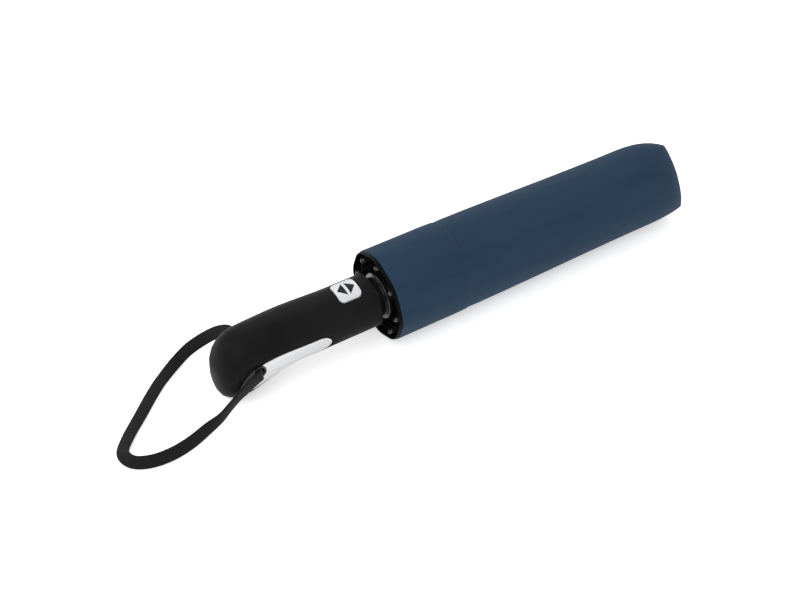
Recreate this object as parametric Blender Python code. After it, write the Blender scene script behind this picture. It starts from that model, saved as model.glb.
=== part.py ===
"""Folding umbrella, closed and packed in its cloth sleeve, lying on a surface.

The shaft runs along X. Lengths along it are counted from the mouth of the sleeve: the grip is on
the minus side and the folded bundle in its sleeve on the plus side. Every object hangs below the
empty "shaft_line", which lies on the axis of the shaft, so y and z are counted from that axis.
"""

import math

import bmesh
import bpy
from mathutils import Matrix, Vector

MM = 0.001

# Clearances
TOUCH = 0.3 * MM  # between two pieces that sit against each other
RUNNING = 0.4 * MM  # between two pieces that slide

# Sleeve (cloth case)
SLEEVE_LENGTH = 202.4 * MM
SLEEVE_RADIUS = 26.2 * MM
SLEEVE_WALL = 0.7 * MM
SLEEVE_HEM = 46.0 * MM  # from the mouth to the stitched edge of the hem
HEM_STEP = 0.4 * MM
SLEEVE_TAPER = 1.8 * MM  # how much smaller the radius is at the closed end
SLEEVE_SIDES = 40
FLATTENING = 0.7 * MM  # how far the soft bundle gives way where it lies on the surface
END_LENGTH = 33.0 * MM  # the stretch that closes to the flat end seam
SEAM_HALF = 20.5 * MM
SEAM_THICKNESS = 1.8 * MM
SEAM_DEPTH = 3.0 * MM
SEAM_TILT = math.radians(54)
SEAM_SHIFT = (-2.8 * MM, -1.4 * MM)  # of the seam's middle from the axis, along Y and Z

# Grip
GRIP_REACH = 98.6 * MM
GRIP_START = 4.5 * MM  # from the mouth of the sleeve to the top of the grip
GRIP_RADIUS = 15.2 * MM
GRIP_WALL = 3.7 * MM
GRIP_BORE_END = 62.0 * MM
SWELL_START = 24.0 * MM  # where the grip begins to fill the palm
SWELL_FULL = 58.0 * MM
SWELL_TOP = 1.4 * MM
SWELL_SIDE = 0.5 * MM
TAIL_START = 44.0 * MM  # where the underside begins to curve down
TAIL_FULL = 89.0 * MM  # where the tail is deepest
TAIL_OVERRUN = 0.3 * MM  # of the tail's curve below the surface, before its end is rounded off
END_START = 78.0 * MM  # where the rounded end begins
END_HEIGHT = -11.0 * MM  # of the tail's furthest point, from the axis
END_ROUNDING_TOP = 2.5  # exponents of the rounded end
END_ROUNDING_BOTTOM = 3.6

# Side inlays
INLAY_DEPTH = 1.2 * MM
INLAY_PROUD = 0.25 * MM
INLAY_START = 36.0 * MM
INLAY_END = 90.5 * MM
INLAY_HEIGHT = -1.7 * MM  # of its middle line, from the axis, at the front
INLAY_BEND = 9.5 * MM  # how far the middle line comes down at the tail
INLAY_HALF = 5.0 * MM  # half of its height at the front
INLAY_WIDENING = 2.6 * MM

# Strap eyelets
EYELET_X = -78.5 * MM
EYELET_Z = -1.2 * MM
EYELET_HALF_LENGTH = 3.0 * MM
EYELET_HALF_HEIGHT = 3.8 * MM
EYELET_DEPTH = 5.0 * MM
EYELET_PROUD = 0.6 * MM

# Strap (flat cord)
STRAP_WIDTH = 7.0 * MM
STRAP_STEP = 9.0 * MM
STRAP_GAP = 0.5 * MM  # between an eyelet's face and the route's end

# Button and latch
BUTTON_X = -18.5 * MM
BUTTON_LENGTH = 13.4 * MM
BUTTON_WIDTH = 14.0 * MM
BUTTON_CORNER = 2.6 * MM
BUTTON_PROUD = 0.7 * MM
BUTTON_TRAVEL = 2.0 * MM
LATCH_THICKNESS = 1.8 * MM
LATCH_BAND = 2.0 * MM
LATCH_LEG = 3.0 * MM
LATCH_X = -21.0 * MM
BUTTON_SPRING_RADIUS = 1.9 * MM
BUTTON_SPRING_WIRE = 0.4 * MM
BUTTON_SPRING_OFFSET = 3.4 * MM

# Collar between the grip and the bundle
COLLAR_NECK = 8.0 * MM
COLLAR_SETBACK = 1.8 * MM  # of the flange's edge from the grip's side
COLLAR_FLANGE_START = 0.5 * MM
COLLAR_FLANGE_THICKNESS = 2.1 * MM

# Shaft
TUBE_WALL = 0.6 * MM
LOWER_TUBE_RADIUS = 6.5 * MM
TUBE_STEP = 1.0 * MM  # from one tube's outer radius to the next one's
LOWER_TUBE_FOOT = -56.0 * MM
PIN_X = -51.0 * MM
PIN_RADIUS = 1.2 * MM
PIN_SETBACK = 1.0 * MM  # of each end of the pin from the grip's bore
TUBE_LAP = 3.0 * MM  # how much further each inner tube reaches at the crown

# Ribs and hubs
RIBS = 8
CROWN_SETBACK = 13.5 * MM  # from the crown's start to the top of the folded cloth
CROWN_LENGTH = 10.5 * MM
HUB_WALL = 4.0 * MM  # from the lower tube's surface to the hubs' rim
SLOT_WALL = 1.2 * MM  # from the lower tube's surface to the floor of the slots
RIB_WIDTH = 1.8 * MM
RIB_HEIGHT = 2.2 * MM
RIB_SHEET = 0.5 * MM
RIB_RISE = 1.6 * MM  # from a slot's floor to the middle of the top ribs
STRIP = 1.2 * MM  # thickness of the flat mid ribs and stretchers
KNEE_X = 34.0 * MM  # joint of top rib and mid rib
ELBOW_SETBACK = 5.5 * MM  # from the joint of mid rib and outer rib to the crown
STRETCHER_END = 100.0 * MM
OUTER_RISE = 3.3 * MM  # from the top ribs to the outer ribs above them
WIRE_RADIUS = 0.9 * MM
TIP_RADIUS = 1.7 * MM
TIP_SETBACK = 5.4 * MM  # from the sleeve's surface to the circle of the rib tips
TIP_LENGTH = 7.0 * MM
RUNNER_X = 18.0 * MM
RUNNER_LENGTH = 10.0 * MM
RUNNER_SLEEVE = 12.0 * MM
RUNNER_WALL = 1.3 * MM
RING_WIRE = 0.4 * MM

# Canopy, closing band and top cap
BAND_START = 70.0 * MM
BAND_WIDTH = 22.0 * MM
BAND_THICKNESS = 0.9 * MM
CANOPY_START = 4.0 * MM
CANOPY_SETBACK = 17.4 * MM  # from the top of the folded cloth to the sleeve's closed end
CANOPY_TOP_CLOTH = 1.6 * MM
CANOPY_ROOM = 0.9 * MM  # between the outer ribs and the cloth
PLEAT_DEPTH = 1.5 * MM
SHOULDER_LENGTH = 25.0 * MM  # where the folded cloth narrows under the sleeve's closed end
SHOULDER = 5.0 * MM
CAP_RADIUS = 11.5 * MM
CAP_HEIGHT = 7.0 * MM
CAP_RIM = 1.5 * MM
CAP_STEM = 2.6 * MM
SPRING_SETBACK = 3.6 * MM  # from the lower tube's surface to the spring's wire
SPRING_WIRE = 0.5 * MM
SPRING_TURNS = 13

# What follows from the sizes above
AXIS_HEIGHT = SLEEVE_RADIUS - FLATTENING
TAIL_DEPTH = AXIS_HEIGHT + TAIL_OVERRUN - GRIP_RADIUS
GRIP_BORE = GRIP_RADIUS - GRIP_WALL
COLLAR_FLANGE_RADIUS = GRIP_RADIUS - COLLAR_SETBACK
PIN_LENGTH = 2 * (GRIP_BORE - PIN_SETBACK)
LATCH_RADIUS = LOWER_TUBE_RADIUS + RUNNING
HUB_RADIUS = LOWER_TUBE_RADIUS + HUB_WALL
SLOT_FLOOR = LOWER_TUBE_RADIUS + SLOT_WALL
RIB_RADIUS = SLOT_FLOOR + RIB_RISE
OUTER_RADIUS = RIB_RADIUS + OUTER_RISE
TIP_CIRCLE = SLEEVE_RADIUS - TIP_SETBACK
CANOPY_HOLLOW = OUTER_RADIUS + WIRE_RADIUS + CANOPY_ROOM
SPRING_COIL = LOWER_TUBE_RADIUS - SPRING_SETBACK
CANOPY_END = SLEEVE_LENGTH - CANOPY_SETBACK
CROWN_X = CANOPY_END - CROWN_SETBACK
ELBOW_X = CROWN_X - ELBOW_SETBACK

# The origin is under the middle of the object, without its strap.
ORIGIN_X = (SLEEVE_LENGTH - GRIP_REACH) / 2

# Name: (red, green, blue), metallic, roughness
FINISHES = {
    "soft_touch_black": ((0.012, 0.012, 0.013), 0.0, 0.55),
    "gloss_black": ((0.01, 0.01, 0.011), 0.0, 0.2),
    "satin_chrome": ((0.75, 0.76, 0.78), 1.0, 0.25),
    "silver_plastic": ((0.78, 0.79, 0.8), 0.0, 0.35),
    "steel": ((0.45, 0.46, 0.48), 1.0, 0.35),
    "black_steel": ((0.03, 0.03, 0.035), 0.8, 0.4),
    "navy_cloth": ((0.024, 0.05, 0.094), 0.0, 0.8),
    "black_cloth": ((0.01, 0.01, 0.012), 0.0, 0.85),
    "black_webbing": ((0.008, 0.008, 0.009), 0.0, 0.8),
}

# The strap's route, lying on the surface: from the near eyelet round the loop to the far one.
# Each point is x from the sleeve's mouth, y, and height above the surface, in mm.
STRAP_ROUTE = [
    (-78.5, -16.3, 24.3),
    (-78.6, -18.9, 24.2),
    (-81.6, -20.3, 22.2),
    (-86.8, -19.8, 18.0),
    (-92.4, -18.2, 12.9),
    (-98.4, -17.6, 8.6),
    (-105.2, -18.0, 5.3),
    (-113.5, -19.8, 3.9),
    (-124.4, -23.2, 3.7),
    (-135.7, -24.8, 3.7),
    (-146.8, -23.4, 3.7),
    (-155.0, -18.6, 3.7),
    (-157.0, -10.4, 3.7),
    (-150.4, -1.8, 3.7),
    (-139.2, 8.4, 3.7),
    (-128.0, 18.6, 3.7),
    (-118.2, 26.4, 3.7),
    (-107.6, 32.0, 4.6),
    (-98.2, 33.0, 8.0),
    (-89.8, 30.4, 13.8),
    (-83.2, 25.4, 20.0),
    (-78.6, 18.9, 24.2),
    (-78.5, 16.3, 24.3),
]


def clear_scene():
    for thing in list(bpy.data.objects):
        bpy.data.objects.remove(thing)


def make_material(name, finish):
    colour, metallic, roughness = FINISHES[finish]
    material = bpy.data.materials.new(name)
    material.use_nodes = True
    shader = material.node_tree.nodes["Principled BSDF"]
    shader.inputs["Base Color"].default_value = (*colour, 1)
    shader.inputs["Metallic"].default_value = metallic
    shader.inputs["Roughness"].default_value = roughness
    material.diffuse_color = (*colour, 1)
    return material


def add_object(name, bm, finish, parent, location=(0, 0, 0)):
    """Turns a bmesh into a named object with its own material, below a parent."""
    bmesh.ops.recalc_face_normals(bm, faces=bm.faces)
    mesh = bpy.data.meshes.new(name)
    bm.to_mesh(mesh)
    bm.free()
    mesh.shade_smooth()
    mesh.set_sharp_from_angle(angle=math.radians(35))
    mesh.materials.append(make_material(name, finish))
    thing = bpy.data.objects.new(name, mesh)
    bpy.context.collection.objects.link(thing)
    thing.parent = parent
    thing.location = location
    return thing


def add_cutter(name, bm, parent, location=(0, 0, 0)):
    cutter = add_object(name, bm, "steel", parent, location)
    cutter.hide_render = True
    cutter.display_type = "WIRE"
    return cutter


def combine(thing, other, operation="DIFFERENCE"):
    boolean = thing.modifiers.new(other.name, "BOOLEAN")
    boolean.operation = operation
    boolean.solver = "EXACT"
    boolean.object = other


def add_empty(name, location, parent=None):
    empty = bpy.data.objects.new(name, None)
    bpy.context.collection.objects.link(empty)
    empty.empty_display_size = 10 * MM
    empty.parent = parent
    empty.location = location
    return empty


def loft(rings):
    """A closed solid through rings of points, with a flat cap on the first and the last."""
    bm = bmesh.new()
    loops = [[bm.verts.new(point) for point in ring] for ring in rings]
    for near, far in zip(loops, loops[1:]):
        for i, vert in enumerate(near):
            j = (i + 1) % len(near)
            bm.faces.new((vert, near[j], far[j], far[i]))
    bm.faces.new(loops[0])
    bm.faces.new(reversed(loops[-1]))
    return bm


def hollow_loft(rings):
    """A closed solid whose rings run up the outside and back down the inside, joined last to first."""
    bm = bmesh.new()
    loops = [[bm.verts.new(point) for point in ring] for ring in rings]
    for near, far in zip(loops, loops[1:] + loops[:1]):
        for i, vert in enumerate(near):
            j = (i + 1) % len(near)
            bm.faces.new((vert, near[j], far[j], far[i]))
    return bm


def circle(x, radius, sides, centre=(0, 0), start=0.0):
    """Points round the X direction, the first one at the angle start above +Y."""
    points = []
    for i in range(sides):
        angle = start + 2 * math.pi * i / sides
        y = centre[0] + radius * math.cos(angle)
        z = centre[1] + radius * math.sin(angle)
        points.append(Vector((x, y, z)))
    return points


def turned(profile, sides, start=0.0):
    """A ring turned round the X axis from a closed profile of (x, radius) points."""
    return hollow_loft([circle(x, radius, sides, start=start) for x, radius in profile])


def rod(profile, sides):
    """A solid turned round the X axis from an open profile of (x, radius) points."""
    return loft([circle(x, radius, sides) for x, radius in profile])


def tube_ring(start, end, outer, inner, sides=24):
    return turned([(start, outer), (end, outer), (end, inner), (start, inner)], sides)


def prism(outline, low, high, axis="Y"):
    """Extrudes an outline of (x, z) points along Y, or of (y, z) points along X."""
    if axis == "Y":
        rings = [[Vector((a, depth, b)) for a, b in outline] for depth in (low, high)]
    else:
        rings = [[Vector((depth, a, b)) for a, b in outline] for depth in (low, high)]
    return loft(rings)


def box(low, high):
    (x0, y0, z0), (x1, y1, z1) = low, high
    return prism([(y0, z0), (y1, z0), (y1, z1), (y0, z1)], x0, x1, axis="X")


def smooth(share):
    share = min(1.0, max(0.0, share))
    return share * share * (3 - 2 * share)


def turn_about_shaft(bm, angle):
    bmesh.ops.rotate(bm, verts=bm.verts, cent=(0, 0, 0), matrix=Matrix.Rotation(angle, 3, "X"))
    return bm


def coil(turns, coil_radius, wire_radius, start, end, steps=10, sides=6):
    """A helix of round wire along X."""
    rings = []
    count = int(turns * steps)
    for i in range(count + 1):
        angle = 2 * math.pi * i / steps
        x = start + (end - start) * i / count
        centre = Vector((x, coil_radius * math.cos(angle), coil_radius * math.sin(angle)))
        out = Vector((0, math.cos(angle), math.sin(angle)))
        rise = (end - start) / (2 * math.pi * turns)
        along = Vector((rise, -coil_radius * math.sin(angle), coil_radius * math.cos(angle))).normalized()
        side = along.cross(out)
        ring = []
        for k in range(sides):
            turn = 2 * math.pi * k / sides
            ring.append(centre + wire_radius * (math.cos(turn) * out + math.sin(turn) * side))
        rings.append(ring)
    return loft(rings)


# ---- Sleeve, canopy and band: sections of the packed bundle ----


def sleeve_radius(x):
    """Outer radius of the sleeve: the hem is a little fuller, then the cloth narrows."""
    after_hem = smooth((x - SLEEVE_HEM) / (2 * MM)) * HEM_STEP
    run = SLEEVE_LENGTH - END_LENGTH - SLEEVE_HEM
    return SLEEVE_RADIUS - after_hem - SLEEVE_TAPER * smooth((x - SLEEVE_HEM) / run)


def bundle_ring(x, inset, sides, pleats=0.0):
    """A ring inside the sleeve's inner face by inset, with pleats that overlap one way."""
    radius = sleeve_radius(x) - SLEEVE_WALL - inset
    points = []
    per_pleat = sides // RIBS
    for i in range(sides):
        angle = 2 * math.pi * i / sides - math.pi / 2
        r = radius - pleats * (i % per_pleat) / (per_pleat - 1)
        points.append(Vector((x, r * math.cos(angle), r * math.sin(angle))))
    return points


def sleeve_ring(x, inset):
    """A ring of the sleeve, pressed flat underneath, where it lies on the surface."""
    half_step = math.pi / SLEEVE_SIDES
    radius = (sleeve_radius(x) - inset) / math.cos(half_step)
    ring = circle(x, radius, SLEEVE_SIDES, start=half_step - math.pi / 2)
    for point in ring:
        point.z = max(point.z, inset - AXIS_HEIGHT)
    return ring


def end_ring(x, inset):
    """A ring of the stretch where the round sleeve closes to its flat, tilted seam."""
    begin = SLEEVE_LENGTH - END_LENGTH
    share = (x - begin) / END_LENGTH
    half_step = math.pi / SLEEVE_SIDES
    full = sleeve_radius(begin) / math.cos(half_step)
    flat = SEAM_THICKNESS / 2
    minor = max(flat, full * math.sqrt(max(0.0, 1 - share**2))) - inset
    major = full + (SEAM_HALF - full) * share**3 - inset
    across = Vector((0, math.cos(SEAM_TILT), math.sin(SEAM_TILT)))
    through = Vector((0, -math.sin(SEAM_TILT), math.cos(SEAM_TILT)))
    centre = Vector((x, SEAM_SHIFT[0] * share**3, SEAM_SHIFT[1] * share**3))
    points = []
    for i in range(SLEEVE_SIDES):
        angle = 2 * math.pi * i / SLEEVE_SIDES + half_step - math.pi / 2 - SEAM_TILT
        points.append(centre + major * math.cos(angle) * across + minor * math.sin(angle) * through)
    return points


def make_sleeve(parent):
    begin = SLEEVE_LENGTH - END_LENGTH
    straight = [0.0, 0.5 * SLEEVE_HEM, SLEEVE_HEM, SLEEVE_HEM + 2 * MM]
    straight += [SLEEVE_HEM + (begin - SLEEVE_HEM) * share for share in (0.25, 0.5, 0.75, 1.0)]
    closing = [0.25, 0.45, 0.62, 0.76, 0.87, 0.95]
    rings = [sleeve_ring(x, 0.0) for x in straight]
    rings += [end_ring(begin + END_LENGTH * share, 0.0) for share in closing + [1.0]]
    bm = bmesh.new()
    outer = [[bm.verts.new(point) for point in ring] for ring in rings]
    inside = [sleeve_ring(x, SLEEVE_WALL) for x in straight]
    last = (END_LENGTH - SEAM_DEPTH) / END_LENGTH
    inner_closing = [share for share in closing if share < last - 0.04] + [last]
    inside += [end_ring(begin + END_LENGTH * share, SLEEVE_WALL) for share in inner_closing]
    inner = [[bm.verts.new(point) for point in ring] for ring in inside]
    for loops in (outer, inner):
        for near, far in zip(loops, loops[1:]):
            for i, vert in enumerate(near):
                j = (i + 1) % SLEEVE_SIDES
                bm.faces.new((vert, near[j], far[j], far[i]))
        bm.faces.new(loops[-1])
    for i in range(SLEEVE_SIDES):
        j = (i + 1) % SLEEVE_SIDES
        bm.faces.new((outer[0][i], outer[0][j], inner[0][j], inner[0][i]))
    return add_object("sleeve", bm, "navy_cloth", parent)


def hollow_radius(x):
    """Inner radius of the folded canopy: it opens out round the rib tips at the mouth."""
    mouth = TIP_CIRCLE + TIP_RADIUS + TOUCH
    return CANOPY_HOLLOW + (mouth - CANOPY_HOLLOW) * (1 - smooth((x - 6 * MM) / (40 * MM)))


def make_canopy(parent):
    sides = 6 * RIBS
    inset = TOUCH + BAND_THICKNESS + RUNNING
    narrowing = CANOPY_END - SHOULDER_LENGTH
    outer_x = [CANOPY_START, 16 * MM, 40 * MM, 70 * MM, 110 * MM, narrowing]
    outer_x += [CANOPY_END - 9 * MM, CANOPY_END]
    top = CANOPY_END - CANOPY_TOP_CLOTH
    inner_x = [top, top - 35 * MM, 46 * MM, 34 * MM, 24 * MM, 14 * MM, CANOPY_START]
    pleats = [0.25 * PLEAT_DEPTH] + [PLEAT_DEPTH] * (len(outer_x) - 1)
    rings = []
    for x, depth in zip(outer_x, pleats):
        shoulder = SHOULDER * smooth((x - narrowing) / SHOULDER_LENGTH)
        rings.append(bundle_ring(x, inset + shoulder, sides, depth))
    start = -math.pi / 2
    hole = CAP_STEM + TOUCH
    rings.append(circle(CANOPY_END, hole, sides, start=start))
    rings.append(circle(top, hole, sides, start=start))
    rings += [circle(x, hollow_radius(x), sides, start=start) for x in inner_x]
    return add_object("canopy", hollow_loft(rings), "navy_cloth", parent)


def make_band(parent):
    sides = 48
    steps = [BAND_START + BAND_WIDTH * share for share in (0.0, 0.5, 1.0)]
    rings = [bundle_ring(x, RUNNING, sides) for x in steps]
    rings += [bundle_ring(x, RUNNING + BAND_THICKNESS, sides) for x in reversed(steps)]
    return add_object("closing_band", hollow_loft(rings), "navy_cloth", parent)


# ---- Grip ----


def grip_section(x, grow):
    """Half width, middle height and half height of the grip at x, grown by grow all round."""
    swell = smooth((-x - SWELL_START) / (SWELL_FULL - SWELL_START))
    lowered = TAIL_DEPTH * smooth((-x - TAIL_START) / (TAIL_FULL - TAIL_START)) ** 2
    top = GRIP_RADIUS + SWELL_TOP * swell
    bottom = -GRIP_RADIUS - lowered
    half_width = GRIP_RADIUS + SWELL_SIDE * swell
    share = min(1.0, max(0.0, (-x - END_START) / (GRIP_REACH + grow - END_START)))
    scale_top = (1 - share**END_ROUNDING_TOP) ** (1 / END_ROUNDING_TOP)
    scale_bottom = (1 - share**END_ROUNDING_BOTTOM) ** (1 / END_ROUNDING_BOTTOM)
    top = END_HEIGHT + (top + grow - END_HEIGHT) * scale_top
    bottom = END_HEIGHT + (bottom - grow - END_HEIGHT) * scale_bottom
    half_width = (half_width + grow) * (scale_top + scale_bottom) / 2
    return half_width, (top + bottom) / 2, (top - bottom) / 2


def grip_loft(grow, start):
    """The grip's outer shape as a closed solid, from start to its rounded tail."""
    sides = 32
    count = 7
    stations = [start]
    stations += [-SWELL_START - (END_START - SWELL_START) * k / count for k in range(count + 1)]
    reach = GRIP_REACH + grow - END_START
    stations += [-END_START - reach * math.sin(math.pi / 2 * k / count) for k in range(1, count)]
    stations.append(-END_START - 0.998 * reach)
    rings = []
    for x in stations:
        half_width, middle, half_height = grip_section(x, grow)
        ring = []
        for i in range(sides):
            angle = 2 * math.pi * i / sides
            ring.append(Vector((x, half_width * math.cos(angle), middle + half_height * math.sin(angle))))
        rings.append(ring)
    bm = loft(rings)
    tip = Vector((-GRIP_REACH - grow, 0, END_HEIGHT))
    end = [face for face in bm.faces if all(abs(v.co.x - stations[-1]) < 1e-7 for v in face.verts)]
    poke = bmesh.ops.poke(bm, faces=end)
    poke["verts"][0].co = tip
    return bm


def inlay_outline(grow):
    """Outline of a side inlay in the XZ plane: a blade with round ends that bends down at the tail."""
    count = 14
    front = 0.12
    back = 0.8
    upper = []
    lower = []
    for k in range(count + 1):
        share = 0.5 - 0.5 * math.cos(math.pi * k / count)
        x = -INLAY_START - (INLAY_END - INLAY_START) * share + grow * (1 - 2 * share)
        middle = INLAY_HEIGHT - INLAY_BEND * share**4
        half = INLAY_HALF + INLAY_WIDENING * smooth(share) + grow
        half *= math.sqrt(max(0.0, 1 - max(0.0, 1 - share / front) ** 2))
        half *= math.sqrt(max(0.0, 1 - max(0.0, (share - back) / (1 - back)) ** 2))
        upper.append((x, middle + half))
        lower.append((x, middle - half))
    return upper + lower[-2:0:-1]


def eyelet_outline(grow):
    points = []
    for i in range(20):
        angle = 2 * math.pi * i / 20
        points.append(
            (
                EYELET_X + (EYELET_HALF_LENGTH + grow) * math.cos(angle),
                EYELET_Z + (EYELET_HALF_HEIGHT + grow) * math.sin(angle),
            )
        )
    return points


def side_span(side, near, far):
    """The two Y values of a stretch on one side, near and far counted outwards from the middle."""
    return (near, far) if side > 0 else (-far, -near)


def button_outline(grow):
    """Rounded rectangle in the XY plane, centred on the button."""
    points = []
    corner = BUTTON_CORNER + grow
    half_x = BUTTON_LENGTH / 2 + grow - corner
    half_y = BUTTON_WIDTH / 2 + grow - corner
    for quarter, (sx, sy) in enumerate([(1, 1), (-1, 1), (-1, -1), (1, -1)]):
        for k in range(5):
            angle = math.pi / 2 * (quarter + k / 4)
            points.append((sx * half_x + corner * math.cos(angle), sy * half_y + corner * math.sin(angle)))
    return points


def button_solid(grow, bottom, top):
    rings = [[Vector((a, b, z)) for a, b in button_outline(grow)] for z in (bottom, top)]
    return loft(rings)


def make_grip(parent):
    grip = add_object("grip_body", grip_loft(0.0, -GRIP_START), "soft_touch_black", parent)
    bore = rod([(-GRIP_BORE_END, GRIP_BORE), (1 * MM, GRIP_BORE)], 32)
    combine(grip, add_cutter("cut_grip_bore", bore, parent))
    window = button_solid(TOUCH, 0.0, GRIP_RADIUS + 5 * MM)
    combine(grip, add_cutter("cut_button_window", window, parent, (BUTTON_X, 0, 0)))
    half = LATCH_THICKNESS / 2 + TOUCH
    room = prism(arch(LATCH_RADIUS + LATCH_BAND + TOUCH), -half, half, axis="X")
    combine(grip, add_cutter("cut_latch_room", room, parent, (LATCH_X, 0, 0)))
    beyond = GRIP_RADIUS + 6 * MM
    for side, word in ((-1, "near"), (1, "far")):
        seat = add_cutter("seat_" + word, grip_loft(-INLAY_DEPTH - TOUCH, -GRIP_START - 5 * MM), parent)
        pocket = prism(inlay_outline(TOUCH), *side_span(side, 5 * MM, beyond))
        cutter = add_cutter("cut_inlay_" + word, pocket, parent)
        combine(cutter, seat)
        combine(grip, cutter)
        inside = GRIP_RADIUS - EYELET_DEPTH
        hole = prism(eyelet_outline(TOUCH), *side_span(side, inside - TOUCH, beyond))
        eyelet_cutter = add_cutter("cut_eyelet_" + word, hole, parent)
        combine(grip, eyelet_cutter)
        make_inlay(side, word, eyelet_cutter, parent)
        stub = prism(eyelet_outline(0.0), *side_span(side, inside, GRIP_RADIUS + EYELET_PROUD))
        add_object("strap_eyelet_" + word, stub, "gloss_black", parent)
    return grip


def make_inlay(side, word, eyelet_cutter, parent):
    blade = prism(inlay_outline(0.0), *side_span(side, 5 * MM, GRIP_RADIUS + 6 * MM))
    inlay = add_object("inlay_" + word, blade, "satin_chrome", parent)
    outside = add_cutter("skin_" + word, grip_loft(INLAY_PROUD, -GRIP_START + 5 * MM), parent)
    inside = add_cutter("back_" + word, grip_loft(-INLAY_DEPTH, -GRIP_START - 5 * MM), parent)
    combine(inlay, outside, "INTERSECT")
    combine(inlay, inside)
    combine(inlay, eyelet_cutter)
    return inlay


def make_core(parent):
    """The mechanism's holder in the grip's bore, cut away under the button and round the tube."""
    outer = GRIP_BORE - TOUCH
    start = -GRIP_BORE_END + TOUCH
    end = -COLLAR_NECK - TOUCH
    core = add_object("mechanism_core", rod([(start, outer), (end, outer)], 32), "gloss_black", parent)
    inner = LOWER_TUBE_RADIUS + TOUCH
    bore = rod([(LOWER_TUBE_FOOT - TOUCH, inner), (1 * MM, inner)], 24)
    combine(core, add_cutter("cut_core_bore", bore, parent))
    half = BUTTON_LENGTH / 2 + 1 * MM
    low = (BUTTON_X - half, -GRIP_BORE - 1 * MM, -6 * MM)
    high = (BUTTON_X + half, GRIP_BORE + 1 * MM, GRIP_BORE + 1 * MM)
    combine(core, add_cutter("cut_core_window", box(low, high), parent))
    pin_hole = cross_rod(PIN_RADIUS + TOUCH, 2 * GRIP_BORE + 2 * MM)
    combine(core, add_cutter("cut_core_pin", pin_hole, parent, (PIN_X, 0, 0)))
    add_object("shaft_pin", cross_rod(PIN_RADIUS, PIN_LENGTH), "steel", parent, (PIN_X, 0, 0))
    return core


def cross_rod(radius, length, sides=16):
    bm = rod([(-length / 2, radius), (length / 2, radius)], sides)
    bmesh.ops.rotate(bm, verts=bm.verts, cent=(0, 0, 0), matrix=Matrix.Rotation(math.pi / 2, 3, "Z"))
    return bm


def make_collar(parent):
    neck = GRIP_BORE - TOUCH
    inner = LOWER_TUBE_RADIUS + TOUCH
    front = COLLAR_FLANGE_START
    back = front + COLLAR_FLANGE_THICKNESS
    edge = 0.5 * MM
    profile = [
        (-COLLAR_NECK, neck),
        (front, neck),
        (front, COLLAR_FLANGE_RADIUS - edge),
        (front + edge, COLLAR_FLANGE_RADIUS),
        (back - edge, COLLAR_FLANGE_RADIUS),
        (back, COLLAR_FLANGE_RADIUS - edge),
        (back, inner),
        (-COLLAR_NECK, inner),
    ]
    return add_object("handle_collar", turned(profile, 36), "gloss_black", parent)


def make_button(parent):
    """The button's top follows the grip's curve, standing a little proud of it."""
    bottom = LATCH_RADIUS + LATCH_BAND + BUTTON_TRAVEL + TOUCH
    top = GRIP_RADIUS + 3 * MM
    body = button_solid(0.0, bottom, top)
    button = add_object("push_button", body, "silver_plastic", parent, (BUTTON_X, 0, 0))
    skin = rod([(-20 * MM, GRIP_RADIUS + BUTTON_PROUD), (20 * MM, GRIP_RADIUS + BUTTON_PROUD)], 64)
    combine(button, add_cutter("skin_button", skin, parent, (BUTTON_X, 0, 0)), "INTERSECT")
    make_latch(parent)
    spring_end = bottom - TOUCH - BUTTON_SPRING_WIRE
    spring_start = LOWER_TUBE_RADIUS + TOUCH + BUTTON_SPRING_WIRE
    bm = coil(4, BUTTON_SPRING_RADIUS, BUTTON_SPRING_WIRE, spring_start, spring_end)
    bmesh.ops.rotate(bm, verts=bm.verts, cent=(0, 0, 0), matrix=Matrix.Rotation(-math.pi / 2, 3, "Y"))
    add_object("button_spring", bm, "steel", parent, (BUTTON_X + BUTTON_SPRING_OFFSET, 0, 0))
    return button


def arch(radius):
    """Outline in the YZ plane of an arch over the lower tube, raised by the button's travel."""
    steps = 12
    turns = [math.pi * k / steps for k in range(steps + 1)]
    over = [(-radius * math.cos(turn), BUTTON_TRAVEL + radius * math.sin(turn)) for turn in turns]
    return [(-radius, -LATCH_LEG), *over, (radius, -LATCH_LEG)]


def make_latch(parent):
    """A plate that the button pushes down off its catch on the lower tube."""
    outline = arch(LATCH_RADIUS) + arch(LATCH_RADIUS + LATCH_BAND)[::-1]
    plate = prism(outline, -LATCH_THICKNESS / 2, LATCH_THICKNESS / 2, axis="X")
    return add_object("latch_plate", plate, "steel", parent, (LATCH_X, 0, 0))


# ---- Shaft ----


def tube_radius(number):
    """Outer radius of a tube: 0 is the lower one in the grip, 2 the upper one with the crown."""
    return LOWER_TUBE_RADIUS - number * TUBE_STEP


def make_lower_tube(parent):
    outer = tube_radius(0)
    end = CROWN_X - TUBE_LAP - TOUCH
    bm = tube_ring(LOWER_TUBE_FOOT, end, outer, outer - TUBE_WALL)
    tube = add_object("lower_tube", bm, "black_steel", parent)
    cutter = add_cutter("cut_tube_pin", cross_rod(PIN_RADIUS + TOUCH, 2 * GRIP_BORE), parent, (PIN_X, 0, 0))
    combine(tube, cutter)
    return tube


def make_middle_tube(parent):
    outer = tube_radius(1)
    start = PIN_X + PIN_RADIUS + 2 * TOUCH
    bm = tube_ring(start, CROWN_X - TOUCH, outer, outer - TUBE_WALL)
    return add_object("middle_tube", bm, "black_steel", parent)


def make_upper_tube(parent):
    outer = tube_radius(2)
    start = PIN_X + PIN_RADIUS + 2 * TOUCH
    bm = tube_ring(start, CROWN_X + TUBE_LAP, outer, outer - TUBE_WALL)
    tube = add_object("upper_tube", bm, "black_steel", parent)
    spring = coil(SPRING_TURNS, SPRING_COIL, SPRING_WIRE, start + SPRING_WIRE, CROWN_X - SPRING_WIRE)
    add_object("opening_spring", spring, "steel", parent)
    return tube


# ---- Hubs and ribs ----


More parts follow.
